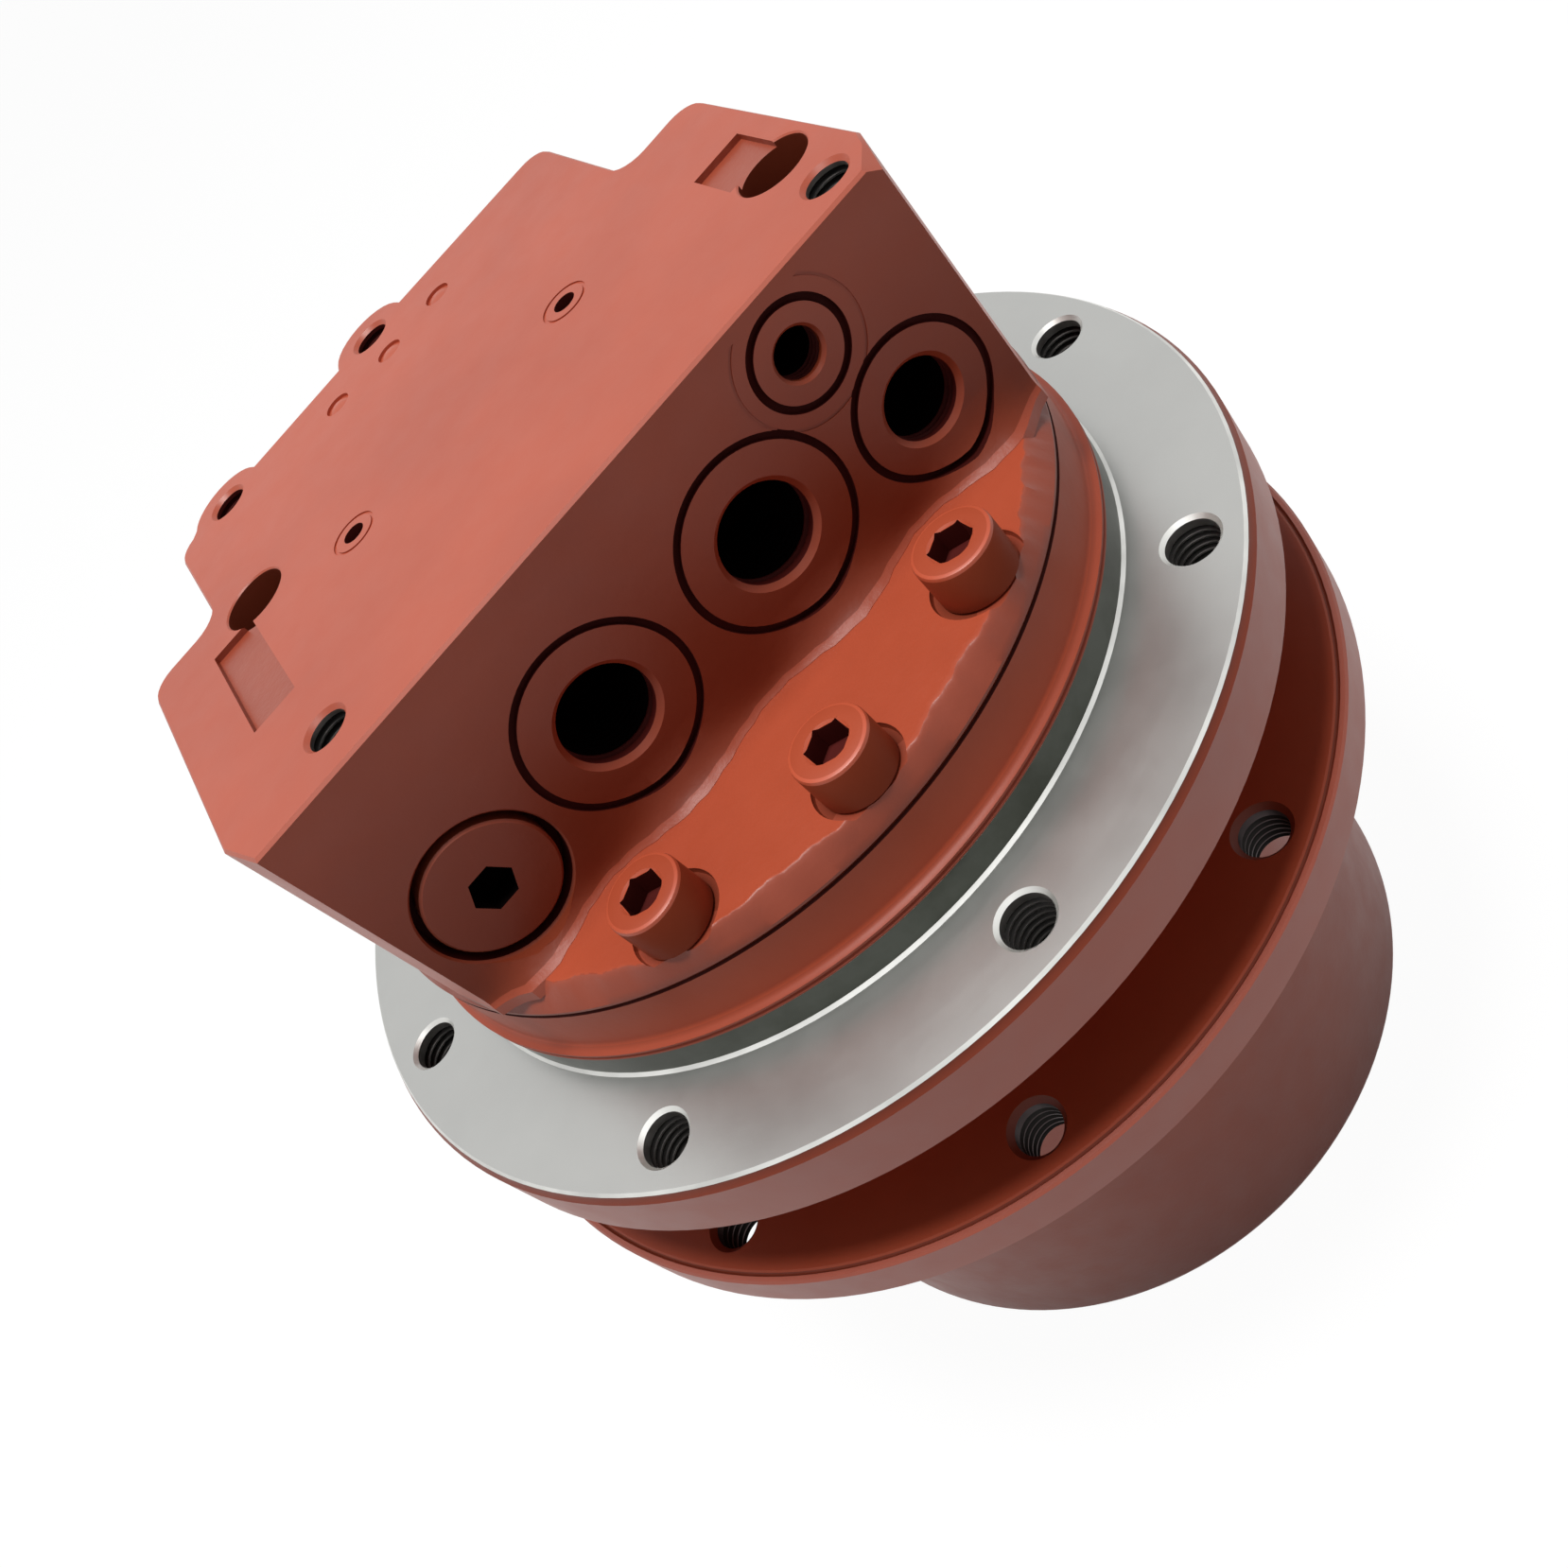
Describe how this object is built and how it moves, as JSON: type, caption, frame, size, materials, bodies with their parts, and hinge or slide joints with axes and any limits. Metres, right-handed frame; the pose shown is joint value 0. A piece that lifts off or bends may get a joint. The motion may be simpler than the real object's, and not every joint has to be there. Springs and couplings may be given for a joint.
{
  "type": "excavator final drive",
  "caption": "Travel drive of a compact excavator: a piston motor with ported valve block, and a two-stage planetary hub that turns a sprocket flange.",
  "frame": {"origin": "centre of the drive's axis at the hub's end face, which it stands on", "axes": "+Z along the drive's axis from the hub to the port block; the face with the ports looks towards -Y"},
  "size_m": [0.23, 0.23, 0.237],
  "materials": {
    "primer_paint": "red-brown primer, semi-matt, over cast and turned iron; mating faces bare",
    "machined_steel": "ground and turned steel",
    "hardened_steel": "dark hardened steel, oiled",
    "bronze": "turned bronze",
    "seal_rubber": "black nitrile rubber"
  },
  "bodies": {
    "frame_side": {"port_block": "primer_paint", "motor_case": "primer_paint", "speed_spool_plug": "primer_paint", "block_screw_1": "primer_paint", "block_screw_2": "primer_paint", "block_screw_3": "primer_paint", "block_screw_4": "primer_paint", "block_screw_5": "primer_paint", "block_screw_6": "primer_paint", "block_screw_7": "primer_paint", "valve_plate": "machined_steel", "rear_shaft_bearing": "machined_steel", "front_shaft_bearing": "machined_steel", "shaft_seal": "seal_rubber", "lower_bearing_inner_race": "machined_steel", "upper_bearing_inner_race": "machined_steel", "bearing_nut": "hardened_steel", "planet_2_pin_1": "machined_steel", "planet_2_pin_2": "machined_steel", "planet_2_pin_3": "machined_steel", "face_seal_case_ring": "hardened_steel", "brake_spring": "hardened_steel", "spool_cap_left": "primer_paint", "spool_cap_right": "primer_paint"},
    "hub_side": {"hub": "primer_paint", "ring_gear": "hardened_steel", "end_cover": "primer_paint", "cover_clip": "hardened_steel", "oil_drain_plug": "hardened_steel", "oil_level_plug": "hardened_steel", "lower_bearing_outer_race": "machined_steel", "upper_bearing_outer_race": "machined_steel", "face_seal_hub_ring": "hardened_steel"},
    "lower_roller_set": {"lower_bearing_rollers": "machined_steel"},
    "upper_roller_set": {"upper_bearing_rollers": "machined_steel"},
    "carrier": {"planet_carrier": "hardened_steel", "sun_gear_2": "hardened_steel"},
    "shaft": {"drive_shaft": "machined_steel", "sun_gear_1": "hardened_steel", "cylinder_barrel": "machined_steel", "brake_friction_disc": "bronze", "piston_1": "machined_steel", "piston_2": "machined_steel", "piston_3": "machined_steel", "piston_4": "machined_steel", "piston_5": "machined_steel", "piston_6": "machined_steel", "piston_7": "machined_steel"},
    "swash": {"swash_plate": "hardened_steel"},
    "shoes": {"shoe_ring": "bronze"},
    "speed_actuator": {"speed_piston": "machined_steel"},
    "brake": {"brake_piston": "machined_steel"},
    "counterbalance": {"counterbalance_spool": "machined_steel"},
    "speed_valve": {"speed_spool": "machined_steel"},
    "planet_1_1": {"planet_1_gear_1": "hardened_steel"},
    "planet_1_2": {"planet_1_gear_2": "hardened_steel"},
    "planet_1_3": {"planet_1_gear_3": "hardened_steel"},
    "planet_2_1": {"planet_2_gear_1": "hardened_steel"},
    "planet_2_2": {"planet_2_gear_2": "hardened_steel"},
    "planet_2_3": {"planet_2_gear_3": "hardened_steel"}
  },
  "joints": [
    {"name": "hub_spin", "type": "hinge", "parent": "frame_side", "child": "hub_side", "pos_m": [0, 0, 0], "axis": [0, 0, 1], "continuous": true},
    {"name": "lower_roller_spin", "type": "hinge", "parent": "frame_side", "child": "lower_roller_set", "pos_m": [0, 0, 0], "axis": [0, 0, 1], "continuous": true},
    {"name": "upper_roller_spin", "type": "hinge", "parent": "frame_side", "child": "upper_roller_set", "pos_m": [0, 0, 0], "axis": [0, 0, 1], "continuous": true},
    {"name": "carrier_spin", "type": "hinge", "parent": "frame_side", "child": "carrier", "pos_m": [0, 0, 0], "axis": [0, 0, 1], "continuous": true},
    {"name": "shaft_spin", "type": "hinge", "parent": "frame_side", "child": "shaft", "pos_m": [0, 0, 0], "axis": [0, 0, 1], "continuous": true},
    {"name": "planet_1_spin_1", "type": "hinge", "parent": "carrier", "child": "planet_1_1", "pos_m": [0, 0.045, 0], "axis": [0, 0, 1], "continuous": true},
    {"name": "planet_1_spin_2", "type": "hinge", "parent": "carrier", "child": "planet_1_2", "pos_m": [-0.03897, -0.0225, 0], "axis": [0, 0, 1], "continuous": true},
    {"name": "planet_1_spin_3", "type": "hinge", "parent": "carrier", "child": "planet_1_3", "pos_m": [0.03897, -0.0225, 0], "axis": [0, 0, 1], "continuous": true},
    {"name": "planet_2_spin_1", "type": "hinge", "parent": "frame_side", "child": "planet_2_1", "pos_m": [0, 0.0495, 0], "axis": [0, 0, 1], "continuous": true},
    {"name": "planet_2_spin_2", "type": "hinge", "parent": "frame_side", "child": "planet_2_2", "pos_m": [-0.04287, -0.02475, 0], "axis": [0, 0, 1], "continuous": true},
    {"name": "planet_2_spin_3", "type": "hinge", "parent": "frame_side", "child": "planet_2_3", "pos_m": [0.04287, -0.02475, 0], "axis": [0, 0, 1], "continuous": true},
    {"name": "swash_tilt", "type": "hinge", "parent": "frame_side", "child": "swash", "pos_m": [0, 0, 0.1065], "axis": [1, 0, 0], "range_deg": [0, 7], "stiffness_Nm_per_rad": 1, "springref_deg": -11.46},
    {"name": "shoe_spin", "type": "hinge", "parent": "swash", "child": "shoes", "pos_m": [0, 0, 0.1065], "axis": [0, 0.2588, 0.9659], "continuous": true},
    {"name": "speed_piston_slide", "type": "slide", "parent": "frame_side", "child": "speed_actuator", "axis": [0, 0, 1], "range_m": [0, 0.0042]},
    {"name": "brake_release", "type": "slide", "parent": "frame_side", "child": "brake", "axis": [0, 0, 1], "range_m": [0, 0.0015], "stiffness_N_per_m": 20000, "springref_m": -0.004, "deforming": ["brake_spring"]},
    {"name": "counterbalance_slide", "type": "slide", "parent": "frame_side", "child": "counterbalance", "axis": [1, 0, 0], "range_m": [-0.006, 0.006], "stiffness_N_per_m": 3000},
    {"name": "speed_spool_slide", "type": "slide", "parent": "frame_side", "child": "speed_valve", "axis": [0, -1, 0], "range_m": [0, 0.005], "stiffness_N_per_m": 2000, "springref_m": -0.002}
  ],
  "couplings": [
    {"joint": "carrier_spin", "follows": "hub_spin", "ratio": -2.6667},
    {"joint": "shaft_spin", "follows": "hub_spin", "ratio": -17.333},
    {"joint": "shoe_spin", "follows": "hub_spin", "ratio": -17.333},
    {"joint": "lower_roller_spin", "follows": "hub_spin", "ratio": 0.5343},
    {"joint": "upper_roller_spin", "follows": "hub_spin", "ratio": 0.5343},
    {"joint": "planet_1_spin_1", "follows": "hub_spin", "ratio": 9.7778},
    {"joint": "planet_2_spin_1", "follows": "hub_spin", "ratio": 3.2},
    {"joint": "planet_1_spin_2", "follows": "hub_spin", "ratio": 9.7778},
    {"joint": "planet_2_spin_2", "follows": "hub_spin", "ratio": 3.2},
    {"joint": "planet_1_spin_3", "follows": "hub_spin", "ratio": 9.7778},
    {"joint": "planet_2_spin_3", "follows": "hub_spin", "ratio": 3.2},
    {"joint": "speed_piston_slide", "follows": "swash_tilt", "m_per_rad": 0.0335}
  ]
}
